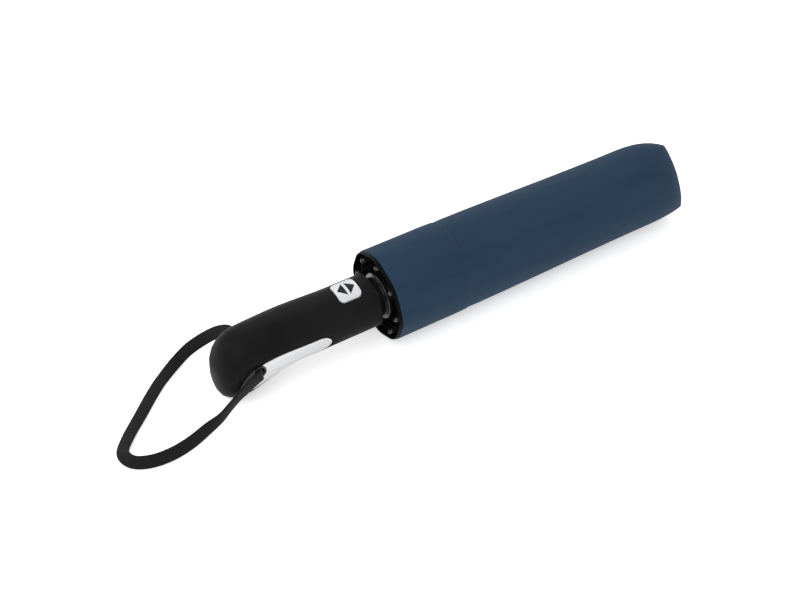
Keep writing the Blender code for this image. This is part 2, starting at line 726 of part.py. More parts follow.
def slotted_hub(name, profile, slot_start, slot_end, slot_low, slot_high, parent, closed):
    """A turned hub with one slot for each rib; the slot's sides are slot_low and slot_high across."""
    sides = 4 * RIBS
    bm = turned(profile, sides) if closed else rod(profile, sides)
    hub = add_object(name, bm, "gloss_black", parent)
    slots = bmesh.new()
    for i in range(RIBS):
        one = box((slot_start, slot_low, SLOT_FLOOR), (slot_end, slot_high, HUB_RADIUS + 2 * MM))
        turn_about_shaft(one, 2 * math.pi * i / RIBS)
        mesh = bpy.data.meshes.new("slot")
        one.to_mesh(mesh)
        one.free()
        slots.from_mesh(mesh)
        bpy.data.meshes.remove(mesh)
    combine(hub, add_cutter("cut_slots_" + name, slots, parent))
    return hub


def make_crown(parent):
    end = CROWN_X + CROWN_LENGTH
    bore = tube_radius(2) + TOUCH
    floor = CROWN_X + TUBE_LAP + TOUCH
    half = RIB_WIDTH / 2 + TOUCH
    profile = [(CROWN_X, HUB_RADIUS), (end - 1 * MM, HUB_RADIUS), (end, HUB_RADIUS - 1 * MM)]
    start = CROWN_X - 1 * MM
    crown = slotted_hub("crown", profile, start, end - 2.5 * MM, -half, half, parent, closed=False)
    cutter = rod([(start, bore), (floor, bore)], 24)
    combine(crown, add_cutter("cut_crown_bore", cutter, parent))
    add_ring("crown_ring", CROWN_X + 4 * MM, parent)
    return crown


def add_ring(name, x, parent):
    inner = HUB_RADIUS + TOUCH
    outer = inner + 2 * RING_WIRE
    profile = [
        (x - RING_WIRE, inner),
        (x - RING_WIRE, outer),
        (x + RING_WIRE, outer),
        (x + RING_WIRE, inner),
    ]
    return add_object(name, turned(profile, 32), "steel", parent)


def make_runner(parent):
    inner = tube_radius(0) + RUNNING
    foot = RUNNER_X - RUNNER_SLEEVE
    end = RUNNER_X + RUNNER_LENGTH
    profile = [
        (foot, inner + RUNNER_WALL),
        (RUNNER_X, inner + RUNNER_WALL),
        (RUNNER_X, HUB_RADIUS),
        (end, HUB_RADIUS),
        (end, inner),
        (foot, inner),
    ]
    low = RIB_WIDTH / 2
    high = low + STRIP + 2 * TOUCH
    start = RUNNER_X + 2 * MM
    runner = slotted_hub("runner", profile, start, end + 1 * MM, low, high, parent, closed=True)
    add_ring("runner_ring", RUNNER_X + RUNNER_LENGTH / 2, parent)
    return runner


def top_rib():
    """A channel, open towards the shaft, from its knee to its eye in the crown."""
    half = RIB_WIDTH / 2
    low = RIB_RADIUS - RIB_HEIGHT / 2
    high = RIB_RADIUS + RIB_HEIGHT / 2
    inner = half - RIB_SHEET
    section = [
        (-half, low),
        (-half, high),
        (half, high),
        (half, low),
        (inner, low),
        (inner, high - RIB_SHEET),
        (-inner, high - RIB_SHEET),
        (-inner, low),
    ]
    return prism(section, KNEE_X, CROWN_X + CROWN_LENGTH - 3 * MM, axis="X")


def stretcher():
    """A flat strip beside the top rib, from the runner to its joint on the rib."""
    low = RIB_RADIUS - RIB_HEIGHT / 2
    high = RIB_RADIUS + RIB_HEIGHT / 2
    start = RUNNER_X + 2 * MM + TOUCH
    outline = [(start, low), (STRETCHER_END, low), (STRETCHER_END, high), (start, high)]
    near = RIB_WIDTH / 2 + TOUCH
    return prism(outline, near, near + STRIP)


def mid_rib():
    """A strip on the other side, with a lug down at the knee and one up at the elbow."""
    knee_low = RIB_RADIUS - RIB_HEIGHT / 2
    low = RIB_RADIUS - RIB_HEIGHT / 4
    high = RIB_RADIUS + RIB_HEIGHT / 2 + 0.6 * MM
    elbow_high = OUTER_RADIUS + WIRE_RADIUS
    lug = 6 * MM
    outline = [
        (KNEE_X, knee_low),
        (KNEE_X + lug, knee_low),
        (KNEE_X + 1.5 * lug, low),
        (ELBOW_X, low),
        (ELBOW_X, elbow_high),
        (ELBOW_X - lug, elbow_high),
        (ELBOW_X - 1.5 * lug, high),
        (KNEE_X, high),
    ]
    near = -RIB_WIDTH / 2 - TOUCH
    return prism(outline, near - STRIP, near)


def outer_rib():
    """A round wire that bends out at the mouth and ends in a bead."""
    path = [
        (ELBOW_X, OUTER_RADIUS, WIRE_RADIUS),
        (60 * MM, OUTER_RADIUS, WIRE_RADIUS),
        (44 * MM, OUTER_RADIUS + 0.4 * MM, WIRE_RADIUS),
        (22 * MM, 0.54 * OUTER_RADIUS + 0.46 * TIP_CIRCLE, WIRE_RADIUS),
        (TIP_LENGTH + 3 * MM, TIP_CIRCLE - 1.0 * MM, WIRE_RADIUS),
        (TIP_LENGTH, TIP_CIRCLE - 0.3 * MM, 0.85 * TIP_RADIUS),
        (TIP_LENGTH - 2 * MM, TIP_CIRCLE, TIP_RADIUS),
        (1.0 * MM, TIP_CIRCLE, TIP_RADIUS),
        (-0.4 * MM, TIP_CIRCLE, 0.7 * TIP_RADIUS),
        (-1.0 * MM, TIP_CIRCLE, 0.25 * TIP_RADIUS),
    ]
    rings = []
    for x, height, radius in path:
        ring = []
        for k in range(8):
            angle = 2 * math.pi * k / 8
            ring.append(Vector((x, radius * math.cos(angle), height + radius * math.sin(angle))))
        rings.append(ring)
    return loft(rings)


def make_ribs(parent):
    kinds = (
        ("rib_top", top_rib, "black_steel"),
        ("rib_stretcher", stretcher, "black_steel"),
        ("rib_mid", mid_rib, "black_steel"),
        ("rib_outer", outer_rib, "black_steel"),
    )
    for i in range(RIBS):
        for name, make, finish in kinds:
            bm = turn_about_shaft(make(), 2 * math.pi * i / RIBS)
            add_object(f"{name}_{i + 1}", bm, finish, parent)


def make_top_cap(parent):
    start = CANOPY_END + TOUCH
    stem_end = CROWN_X + CROWN_LENGTH + TOUCH
    profile = [(stem_end, CAP_STEM), (start, CAP_STEM), (start, CAP_RADIUS)]
    for k in range(1, 6):
        angle = math.pi / 2 * k / 6
        x = start + CAP_RIM + (CAP_HEIGHT - CAP_RIM) * math.sin(angle)
        profile.append((x, CAP_RADIUS * math.cos(angle)))
    return add_object("top_cap", rod(profile, 32), "gloss_black", parent)


# ---- Strap ----


def smooth_points(route, step):
    """Points about step apart on a smooth curve through the route's own points."""
    fine = []
    for i in range(len(route) - 1):
        before = route[max(0, i - 1)]
        here, there = route[i], route[i + 1]
        after = route[min(len(route) - 1, i + 2)]
        for k in range(20):
            t = k / 20
            fine.append(
                0.5
                * (
                    2 * here
                    + (there - before) * t
                    + (2 * before - 5 * here + 4 * there - after) * t**2
                    + (3 * here - before - 3 * there + after) * t**3
                )
            )
    fine.append(route[-1])
    length = sum((b - a).length for a, b in zip(fine, fine[1:]))
    count = max(2, round(length / step))
    points = [fine[0]]
    gone = 0.0
    for a, b in zip(fine, fine[1:]):
        stretch = (b - a).length
        while len(points) < count and gone + stretch >= length * len(points) / count:
            share = (length * len(points) / count - gone) / stretch
            points.append(a.lerp(b, share))
        gone += stretch
    points.append(fine[-1])
    return points


def make_strap(parent):
    """The route ends at the eyelets, so it widens and rises with the grip and its height."""
    widen = (GRIP_RADIUS + EYELET_PROUD + STRAP_GAP) / (STRAP_ROUTE[-1][1] * MM)
    rise = (AXIS_HEIGHT + EYELET_Z) / (STRAP_ROUTE[-1][2] * MM)
    route = []
    for x, y, height in STRAP_ROUTE:
        z = max(height * rise * MM, STRAP_WIDTH / 2)
        route.append(Vector((x * MM, y * widen * MM, z - AXIS_HEIGHT)))
    points = [route[0], *smooth_points(route[1:-1], STRAP_STEP), route[-1]]
    curve = bpy.data.curves.new("strap", "CURVE")
    curve.dimensions = "3D"
    curve.bevel_depth = STRAP_WIDTH / 2
    curve.bevel_resolution = 2
    curve.use_fill_caps = True
    spline = curve.splines.new("POLY")
    spline.points.add(len(points) - 1)
    for spot, point in zip(spline.points, points):
        spot.co = (*point, 1)
    spline.use_smooth = True
    curve.materials.append(make_material("strap", "black_webbing"))
    strap = bpy.data.objects.new("strap", curve)
    bpy.context.collection.objects.link(strap)
    strap.parent = parent
    return strap


def make_umbrella():
    clear_scene()
    shaft_line = add_empty("shaft_line", (-ORIGIN_X, 0, AXIS_HEIGHT))
    button_press = add_empty("button_press_axis", (0, 0, 0), shaft_line)
    middle_slide = add_empty("middle_tube_slide", (0, 0, 0), shaft_line)
    upper_slide = add_empty("upper_tube_slide", (0, 0, 0), middle_slide)
    sleeve_slide = add_empty("sleeve_slide", (0, 0, 0), upper_slide)
    make_grip(shaft_line)
    make_core(shaft_line)
    make_collar(shaft_line)
    make_lower_tube(shaft_line)
    make_strap(shaft_line)
    make_button(button_press)
    make_middle_tube(middle_slide)
    make_upper_tube(upper_slide)
    make_crown(upper_slide)
    make_runner(upper_slide)
    make_ribs(upper_slide)
    make_canopy(upper_slide)
    make_band(upper_slide)
    make_top_cap(upper_slide)
    make_sleeve(sleeve_slide)


make_umbrella()
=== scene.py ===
import math

import bmesh
import bpy
from mathutils import Matrix, Vector, noise


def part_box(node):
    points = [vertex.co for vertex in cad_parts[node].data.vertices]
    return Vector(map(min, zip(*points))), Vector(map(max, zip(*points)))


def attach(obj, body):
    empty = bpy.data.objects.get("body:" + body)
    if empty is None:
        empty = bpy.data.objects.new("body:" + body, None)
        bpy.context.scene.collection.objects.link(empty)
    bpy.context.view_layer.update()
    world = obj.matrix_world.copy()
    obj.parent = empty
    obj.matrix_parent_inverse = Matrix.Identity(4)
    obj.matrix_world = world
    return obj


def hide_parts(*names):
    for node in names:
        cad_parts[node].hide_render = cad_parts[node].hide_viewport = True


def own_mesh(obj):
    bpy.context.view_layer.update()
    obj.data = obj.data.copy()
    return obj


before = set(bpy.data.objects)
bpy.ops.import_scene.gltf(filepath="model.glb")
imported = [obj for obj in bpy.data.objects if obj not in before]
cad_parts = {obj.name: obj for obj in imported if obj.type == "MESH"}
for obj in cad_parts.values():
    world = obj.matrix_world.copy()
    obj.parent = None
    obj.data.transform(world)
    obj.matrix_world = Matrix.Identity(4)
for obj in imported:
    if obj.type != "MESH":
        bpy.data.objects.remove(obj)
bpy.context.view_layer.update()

MM = 0.001


# ---- Camera, light and floor ----
# The umbrella lies on a pale table with its grip nearest to the viewer. A long lens looks down on
# it from the grip's side. Two large soft lights and a bright room light it from above, and the
# table glows a little, which keeps the shadows pale.

scene = bpy.context.scene
scene.view_settings.view_transform = "Standard"

case_low, case_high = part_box("sleeve")
MOUTH = case_low.x  # the cloth sleeve's open end, from which lengths along the shaft are counted
tube_low, tube_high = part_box("lower_tube")
AXIS = (tube_low.z + tube_high.z) / 2  # height of the shaft's axis

VIEW_TURN = math.radians(31)
VIEW_HEIGHT = math.radians(45.6)
right = Vector((math.cos(VIEW_TURN), -math.sin(VIEW_TURN), 0))
back = Vector(
    (
        -math.cos(VIEW_HEIGHT) * math.sin(VIEW_TURN),
        -math.cos(VIEW_HEIGHT) * math.cos(VIEW_TURN),
        math.sin(VIEW_HEIGHT),
    )
)
camera = bpy.data.objects.new("camera", bpy.data.cameras.new("camera"))
scene.collection.objects.link(camera)
camera.matrix_world = Matrix((right, back.cross(right), back)).transposed().to_4x4()
camera.location = (MOUTH - 0.2778, -0.4877, AXIS + 0.5702)
camera.data.lens = 66.1
camera.data.sensor_width = 36
scene.camera = camera

for light_name, light_place, light_size, light_power in (
    ("soft_key", (-0.9, -0.7, 1.3), 1.4, 17),
    ("soft_back", (0.5, 1.1, 1.2), 1.2, 9),
    ("grip_glow", (-0.9, 0.5, 0.5), 0.6, 2),
):
    lamp = bpy.data.lights.new(light_name, "AREA")
    lamp.size = light_size
    lamp.energy = light_power
    lamp_object = bpy.data.objects.new(light_name, lamp)
    lamp_object.location = light_place
    lamp_object.rotation_euler = (-Vector(light_place)).to_track_quat("-Z", "Y").to_euler()
    scene.collection.objects.link(lamp_object)

room = bpy.data.worlds.new("room")
room.use_nodes = True
room.node_tree.nodes["Background"].inputs["Color"].default_value = (1, 1, 1, 1)
room.node_tree.nodes["Background"].inputs["Strength"].default_value = 0.75
scene.world = room

TABLE_GLOW = 0.4
table_mesh = bpy.data.meshes.new("table")
table_mesh.from_pydata([(-6, -6, 0), (6, -6, 0), (6, 6, 0), (-6, 6, 0)], [], [(0, 1, 2, 3)])
table = bpy.data.objects.new("table", table_mesh)
scene.collection.objects.link(table)
table_paint = bpy.data.materials.new("pale_table")
table_paint.use_nodes = True
table_shader = table_paint.node_tree.nodes["Principled BSDF"]
table_shader.inputs["Base Color"].default_value = (0.86, 0.86, 0.86, 1)
table_shader.inputs["Roughness"].default_value = 0.7
table_shader.inputs["Emission Color"].default_value = (1, 1, 1, 1)
table_shader.inputs["Emission Strength"].default_value = TABLE_GLOW
table_mesh.materials.append(table_paint)


# ---- Wrist strap ----
# A flat black webbing, 7 mm wide and 1.5 mm thick, woven with fine ribs across. Both ends go into
# the grip through an eyelet on each side, and the loop lies on the table beside the tail.

WEBBING_WIDTH = 7.0 * MM
WEBBING_THICKNESS = 1.5 * MM
WEBBING_EDGE = 0.45 * WEBBING_THICKNESS  # radius of its rounded edges
FLOOR_GAP = 0.1 * MM  # between the webbing and the table
CORD_HEIGHT = 3.7 * MM  # of the modelled cord's middle where it lies on the table

# From the near eyelet round the loop to the far one: the distance from the sleeve's mouth along
# the shaft, the distance across, the height, and the tilt of the webbing's face from upright.
STRAP_ROUTE = [
    (-0.0785, -0.0126, 0.0243, 90),
    (-0.0785, -0.0162, 0.0243, 85),
    (-0.0799, -0.0176, 0.0237, 88),
    (-0.0826, -0.0174, 0.0218, 98),
    (-0.0868, -0.0167, 0.0180, 104),
    (-0.0924, -0.0159, 0.0129, 106),
    (-0.0984, -0.0165, 0.0086, 100),
    (-0.1052, -0.0180, 0.0053, 86),
    (-0.1135, -0.0198, 0.0039, 66),
    (-0.1244, -0.0232, 0.0037, 54),
    (-0.1357, -0.0248, 0.0037, 46),
    (-0.1468, -0.0234, 0.0037, 36),
    (-0.1550, -0.0186, 0.0037, 28),
    (-0.1570, -0.0104, 0.0037, 18),
    (-0.1504, -0.0018, 0.0037, 10),
    (-0.1392, 0.0084, 0.0037, 5),
    (-0.1280, 0.0186, 0.0037, 2),
    (-0.1182, 0.0264, 0.0037, 0),
    (-0.1076, 0.0320, 0.0046, -14),
    (-0.0982, 0.0330, 0.0080, -32),
    (-0.0898, 0.0304, 0.0138, -52),
    (-0.0832, 0.0254, 0.0200, -70),
    (-0.0790, 0.0190, 0.0242, -85),
    (-0.0785, 0.0126, 0.0243, -90),
]


def on_curve(route, steps):
    """Points on a smooth curve through the route's points, with every value interpolated."""
    points = []
    for i in range(len(route) - 1):
        before = Vector(route[max(0, i - 1)])
        here = Vector(route[i])
        there = Vector(route[i + 1])
        after = Vector(route[min(len(route) - 1, i + 2)])
        for k in range(steps):
            t = k / steps
            bend = (2 * before - 5 * here + 4 * there - after) * t**2
            twist = (3 * here - before - 3 * there + after) * t**3
            points.append(0.5 * (2 * here + (there - before) * t + bend + twist))
    points.append(Vector(route[-1]))
    return points


def soft_step(share):
    share = min(1.0, max(0.0, share))
    return share * share * (3 - 2 * share)


def new_piece(name, bm, material, body, smooth_angle=40):
    """A finished mesh piece in the row frame, with one material, that rides on a body."""
    mesh = bpy.data.meshes.new(name)
    bm.to_mesh(mesh)
    bm.free()
    mesh.shade_smooth()
    mesh.set_sharp_from_angle(angle=math.radians(smooth_angle))
    mesh.materials.append(material)
    piece = bpy.data.objects.new(name, mesh)
    scene.collection.objects.link(piece)
    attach(piece, body)
    return piece


class Finish:
    """A material under construction: its nodes, with the Principled shader at hand."""

    def __init__(self, name, colour, roughness, metallic=0.0):
        self.material = bpy.data.materials.new(name)
        self.material.use_nodes = True
        self.tree = self.material.node_tree
        self.shader = self.tree.nodes["Principled BSDF"]
        self.set("Base Color", (*colour, 1))
        self.set("Roughness", roughness)
        self.set("Metallic", metallic)
        self.coordinates = self.tree.nodes.new("ShaderNodeTexCoord")
        self.height = None

    def set(self, socket, value):
        self.shader.inputs[socket].default_value = value

    def noise(self, scale, detail=3.0, stretch=(1, 1, 1)):
        mapping = self.tree.nodes.new("ShaderNodeMapping")
        mapping.inputs["Scale"].default_value = stretch
        texture = self.tree.nodes.new("ShaderNodeTexNoise")
        texture.inputs["Scale"].default_value = scale
        texture.inputs["Detail"].default_value = detail
        self.tree.links.new(self.coordinates.outputs["Object"], mapping.inputs["Vector"])
        self.tree.links.new(mapping.outputs["Vector"], texture.inputs["Vector"])
        return texture.outputs["Fac"]

    def bands(self, direction, scale):
        wave = self.tree.nodes.new("ShaderNodeTexWave")
        wave.bands_direction = direction
        wave.inputs["Scale"].default_value = scale
        self.tree.links.new(self.coordinates.outputs["UV"], wave.inputs["Vector"])
        return wave.outputs["Fac"]

    def mix(self, kind, a, b):
        node = self.tree.nodes.new("ShaderNodeMath")
        node.operation = kind
        for socket, value in zip(node.inputs, (a, b)):
            if isinstance(value, (int, float)):
                socket.default_value = value
            else:
                self.tree.links.new(value, socket)
        return node.outputs[0]

    def tint(self, fac, *stops, socket="Base Color"):
        """Colours or grey values at positions along a ramp."""
        ramp = self.tree.nodes.new("ShaderNodeValToRGB")
        while len(ramp.color_ramp.elements) < len(stops):
            ramp.color_ramp.elements.new(0.5)
        for element, (place, value) in zip(ramp.color_ramp.elements, stops):
            element.position = place
            element.color = (*value, 1) if isinstance(value, tuple) else (value, value, value, 1)
        self.tree.links.new(fac, ramp.inputs["Fac"])
        self.tree.links.new(ramp.outputs["Color"], self.shader.inputs[socket])
        return ramp

    def bump(self, fac, distance, strength=1.0):
        """Adds a height pattern on top of the ones before it."""
        node = self.tree.nodes.new("ShaderNodeBump")
        node.inputs["Distance"].default_value = distance
        node.inputs["Strength"].default_value = strength
        self.tree.links.new(fac, node.inputs["Height"])
        if self.height:
            self.tree.links.new(self.height, node.inputs["Normal"])
        self.height = node.outputs["Normal"]
        self.tree.links.new(self.height, self.shader.inputs["Normal"])


webbing = Finish("black_webbing", (0.01, 0.01, 0.011), 0.85)
webbing_ribs = webbing.bands("X", 0.31)
webbing_yarn = webbing.bands("Y", 0.5)
webbing_wear = webbing.noise(900, 4)
webbing.tint(webbing.mix("MULTIPLY", webbing_ribs, webbing_wear), (0.1, 0.003), (0.8, 0.018))
webbing.bump(webbing_ribs, 0.22 * MM, 0.9)
webbing.bump(webbing_yarn, 0.08 * MM, 0.5)
webbing.bump(webbing_wear, 0.05 * MM, 0.4)
webbing.set("Sheen Weight", 0.06)
webbing.set("Sheen Roughness", 0.5)
webbing.set("Specular IOR Level", 0.12)

strap_samples = on_curve(STRAP_ROUTE, 10)
strap_places = []
strap_sides = []
strap_faces = []
for i, sample in enumerate(strap_samples):
    ahead = strap_samples[min(i + 1, len(strap_samples) - 1)].xyz
    behind = strap_samples[max(i - 1, 0)].xyz
    along = (ahead - behind).normalized()
    outward = along.cross(Vector((0, 0, 1))).normalized() * -1
    tilt = math.radians(sample.w)
    facing = outward * math.sin(tilt) + Vector((0, 0, 1)) * math.cos(tilt)
    facing = (facing - along * facing.dot(along)).normalized()
    side = along.cross(facing).normalized()
    reach = abs(side.z) * WEBBING_WIDTH / 2 + abs(facing.z) * WEBBING_THICKNESS / 2
    lying = 1 - soft_step((sample.z - CORD_HEIGHT) / (5 * MM))
    height = sample.z - (CORD_HEIGHT - reach - FLOOR_GAP) * lying
    strap_places.append(Vector((MOUTH + sample.x, sample.y, max(height, reach + FLOOR_GAP))))
    strap_sides.append(side)
    strap_faces.append(facing)

strap_section = []
for corner in range(4):
    for k in range(4):
        angle = math.pi / 2 * (corner + k / 3)
        across = WEBBING_WIDTH / 2 - WEBBING_EDGE
        through = WEBBING_THICKNESS / 2 - WEBBING_EDGE
        sign_across = 1 if corner in (0, 3) else -1
        sign_through = 1 if corner in (0, 1) else -1
        strap_section.append(
            (
                sign_across * across + WEBBING_EDGE * math.cos(angle),
                sign_through * through + WEBBING_EDGE * math.sin(angle),
            )
        )

bm = bmesh.new()
uv = bm.loops.layers.uv.new("along")
strap_rings = []
strap_run = [0.0]
for i, place in enumerate(strap_places):
    ring = [bm.verts.new(place + strap_sides[i] * a + strap_faces[i] * b) for a, b in strap_section]
    strap_rings.append(ring)
    if i:
        strap_run.append(strap_run[-1] + (place - strap_places[i - 1]).length)
for i in range(len(strap_rings) - 1):
    for k in range(len(strap_section)):
        j = (k + 1) % len(strap_section)
        corners = ((i, k), (i, j), (i + 1, j), (i + 1, k))
        face = bm.faces.new([strap_rings[row][column] for row, column in corners])
        for loop, (row, column) in zip(face.loops, corners):
            loop[uv].uv = (strap_run[row] / MM, strap_section[column][0] / MM)
bm.faces.new(strap_rings[0])
bm.faces.new(reversed(strap_rings[-1]))
bmesh.ops.recalc_face_normals(bm, faces=bm.faces)
strap = new_piece("wrist_strap", bm, webbing.material, "handle")
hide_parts("strap")


# ---- Grip ----
# A curved handle moulded in plastic with a soft-touch rubber skin: matt black, with a faint
# leathery grain and a soft shine where a hand has rubbed it.

soft_touch = Finish("soft_touch_rubber", (0.013, 0.013, 0.014), 0.5)
grain = soft_touch.noise(2600, 3)
rubbed = soft_touch.noise(28, 2)
soft_touch.tint(rubbed, (0.3, 0.006), (0.75, 0.010))
soft_touch.tint(rubbed, (0.25, 0.42), (0.8, 0.56), socket="Roughness")
soft_touch.bump(grain, 0.04 * MM, 0.5)
soft_touch.set("Specular IOR Level", 0.04)


def finished_copy(node, name, material, body, round_edge=0.0, angle=32):
    """A welded copy of a modelled part, with rounded edges and smooth shading, in its place."""
    bm = bmesh.new()
    bm.from_mesh(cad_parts[node].data)
    bmesh.ops.remove_doubles(bm, verts=bm.verts, dist=0.002 * MM)
    bmesh.ops.dissolve_limit(bm, angle_limit=math.radians(0.5), verts=bm.verts, edges=bm.edges)
    piece = new_piece(name, bm, material, body, smooth_angle=angle)
    if round_edge:
        bevel = piece.modifiers.new("rounded", "BEVEL")
        bevel.width = round_edge
        bevel.segments = 2
        bevel.angle_limit = math.radians(angle)
        bevel.use_clamp_overlap = True
        bevel.harden_normals = True
    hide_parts(node)
    return piece


finished_copy("grip_body", "grip_skin", soft_touch.material, "handle")


# ---- Side inlays and strap eyelets ----
# A blade-shaped trim on each flank of the grip, moulded in plastic and metallised to a satin
# chrome. The strap comes out through an oval black eyelet near the trim's tail.

satin_chrome = Finish("satin_chrome", (0.55, 0.555, 0.565), 0.28, metallic=0.9)
brushing = satin_chrome.noise(420, 2, stretch=(0.06, 1, 1))
satin_chrome.tint(brushing, (0.3, (0.51, 0.515, 0.525)), (0.8, (0.59, 0.595, 0.605)))
satin_chrome.tint(brushing, (0.2, 0.26), (0.8, 0.34), socket="Roughness")
satin_chrome.bump(brushing, 0.004 * MM, 0.2)

gloss_plastic = Finish("gloss_black_plastic", (0.008, 0.008, 0.009), 0.22)
moulding = gloss_plastic.noise(160, 2)
gloss_plastic.tint(moulding, (0.3, 0.08), (0.8, 0.18), socket="Roughness")
gloss_plastic.bump(moulding, 0.015 * MM, 0.25)

EYELET_RIM = 0.9 * MM
EYELET_RECESS = 2.5 * MM
EYELET_FOOT = 4.0 * MM  # how deep its back reaches into the grip
EYELET_SIDES = 40


def join_rings(bm, rings):
    """Faces from each ring of vertices to the next one."""
    for near_ring, far_ring in zip(rings, rings[1:]):
        for k in range(len(near_ring)):
            j = (k + 1) % len(near_ring)
            bm.faces.new((near_ring[k], near_ring[j], far_ring[j], far_ring[k]))


for side, word in ((-1, "near"), (1, "far")):
    finished_copy("inlay_" + word, "trim_" + word, satin_chrome.material, "handle")
    low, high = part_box("strap_eyelet_" + word)
    centre = (low + high) / 2
    half_long = (high.x - low.x) / 2
    half_short = (high.z - low.z) / 2
    face_y = high.y if side > 0 else low.y
    profile = [(0.0, -EYELET_FOOT), (0.0, -0.35 * MM), (0.3 * MM, -0.05 * MM), (0.6 * MM, 0.0)]
    profile += [(EYELET_RIM, -0.25 * MM), (EYELET_RIM, -EYELET_RECESS)]
    profile.append((half_short - 0.1 * MM, -EYELET_RECESS))
    bm = bmesh.new()
    rings = []
    for inward, depth in profile:
        ring = []
        for k in range(EYELET_SIDES):
            angle = 2 * math.pi * k / EYELET_SIDES
            x = centre.x + (half_long - inward) * math.cos(angle)
            z = centre.z + (half_short - inward) * math.sin(angle)
            ring.append(bm.verts.new((x, face_y + side * depth, z)))
        rings.append(ring)
    join_rings(bm, rings)
    bm.faces.new(rings[0])
    bm.faces.new(rings[-1])
    bmesh.ops.recalc_face_normals(bm, faces=bm.faces)
    eyelet = new_piece("eyelet_" + word, bm, gloss_plastic.material, "handle")
    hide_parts("strap_eyelet_" + word)


# ---- Push button ----
# A silver grey plastic key in a rounded window on top of the grip. Two black triangles are
# printed on it, pointing both ways along the shaft, for opening and closing.

silver = Finish("silver_plastic", (0.74, 0.75, 0.77), 0.36)
flakes = silver.noise(3000, 2)
silver.tint(flakes, (0.35, (0.46, 0.47, 0.485)), (0.7, (0.6, 0.61, 0.625)))
silver.bump(flakes, 0.01 * MM, 0.3)
silver.set("Coat Weight", 0.3)
silver.set("Coat Roughness", 0.2)
finished_copy(
    "push_button", "button_cap", silver.material, "button", round_edge=0.35 * MM
)

print_black = Finish("printed_black", (0.012, 0.012, 0.013), 0.5)
print_black.tint(print_black.noise(1500, 2), (0.3, 0.006), (0.8, 0.014))
print_black.set("Specular IOR Level", 0.1)

button_low, button_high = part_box("push_button")
button_x = (button_low.x + button_high.x) / 2
TRIANGLE_LENGTH = 4.4 * MM
TRIANGLE_WIDTH = 8.6 * MM
TRIANGLE_GAP = 1.6 * MM
PRINT_THICKNESS = 0.06 * MM
crown_radius = button_high.z - AXIS
bm = bmesh.new()
for way in (-1, 1):
    rows = 9
    lines = []
    for row in range(rows + 1):
        share = row / rows
        x = button_x + way * (TRIANGLE_GAP / 2 + TRIANGLE_LENGTH * share)
        half = TRIANGLE_WIDTH / 2 * (1 - share) + 0.12 * MM
        lines.append((x, half))
    layers = []
    for lift in (-0.1 * MM, PRINT_THICKNESS):
        layer = []
        for x, half in lines:
            line = []
            for k in range(9):
                y = half * (k / 4 - 1)
                z = AXIS + math.sqrt((crown_radius + lift) ** 2 - y**2)
                line.append(bm.verts.new((x, y, z)))
            layer.append(line)
        layers.append(layer)
    under, upper = layers
    for layer in layers:
        for row in range(rows):
            for k in range(8):
                here, there = layer[row], layer[row + 1]
                bm.faces.new((here[k], here[k + 1], there[k + 1], there[k]))
    edge = [(row, 0) for row in range(rows + 1)] + [(rows, k) for k in range(1, 9)]
    edge += [(row, 8) for row in range(rows - 1, -1, -1)] + [(0, k) for k in range(7, 0, -1)]
    for (r0, k0), (r1, k1) in zip(edge, edge[1:] + edge[:1]):
        bm.faces.new((under[r0][k0], under[r1][k1], upper[r1][k1], upper[r0][k0]))
bmesh.ops.recalc_face_normals(bm, faces=bm.faces)
new_piece("button_arrows", bm, print_black.material, "button")


# ---- Collar and mechanism ----
# Glossy black mouldings: the collar that closes the top of the grip, the holder inside it, and
# the hubs that carry the ribs. They keep the modelled shapes.

def paint(node, material):
    """Gives a modelled part that is kept as it is its finish."""
    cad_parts[node].data.materials.clear()
    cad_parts[node].data.materials.append(material)


black_gloss = gloss_plastic.material
finished_copy("handle_collar", "collar", black_gloss, "handle", round_edge=0.2 * MM)
finished_copy("top_cap", "dome_cap", black_gloss, "upper_shaft", angle=40)
for node in ("mechanism_core", "crown", "runner"):
    paint(node, black_gloss)


# ---- Shaft, springs and small steel parts ----
# Three black coated steel tubes that slide into one another, with bright steel wire and sheet for
# the springs, the pin, the latch and the rings in the hubs. The button's spring gets a mesh of its
# own.

coated_steel = Finish("black_coated_steel", (0.018, 0.018, 0.02), 0.35)
coating = coated_steel.noise(60, 3, stretch=(0.1, 1, 1))
coated_steel.tint(coating, (0.3, 0.26), (0.8, 0.42), socket="Roughness")
coated_steel.bump(coating, 0.01 * MM, 0.3)
coated_steel.set("Coat Weight", 0.4)
coated_steel.set("Coat Roughness", 0.25)

bright_steel = Finish("bright_steel", (0.5, 0.51, 0.53), 0.3, metallic=1.0)
drawing = bright_steel.noise(240, 3, stretch=(0.1, 1, 1))
bright_steel.tint(drawing, (0.3, (0.42, 0.43, 0.45)), (0.8, (0.58, 0.59, 0.61)))
bright_steel.tint(drawing, (0.2, 0.24), (0.8, 0.4), socket="Roughness")

tubes = (("lower_tube", "handle"), ("middle_tube", "middle_shaft"), ("upper_tube", "upper_shaft"))
for node, body in tubes:
    finished_copy(node, node + "_shell", coated_steel.material, body)
for node in ("shaft_pin", "latch_plate", "opening_spring", "crown_ring", "runner_ring"):
    paint(node, bright_steel.material)

button_coil = finished_copy("button_spring", "button_coil", bright_steel.material, "handle")
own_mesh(button_coil)


# ---- Ribs ----
# Eight folded ribs of black coated steel: a channel, two flat strips and a wire that ends in a
# glossy moulded tip, to which the cloth is sewn at the mouth.

for node in [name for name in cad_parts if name.startswith("rib_")]:
    if node.startswith("rib_outer"):
        finished_copy(node, node + "_wire", black_gloss, "upper_shaft")
    else:
        paint(node, coated_steel.material)
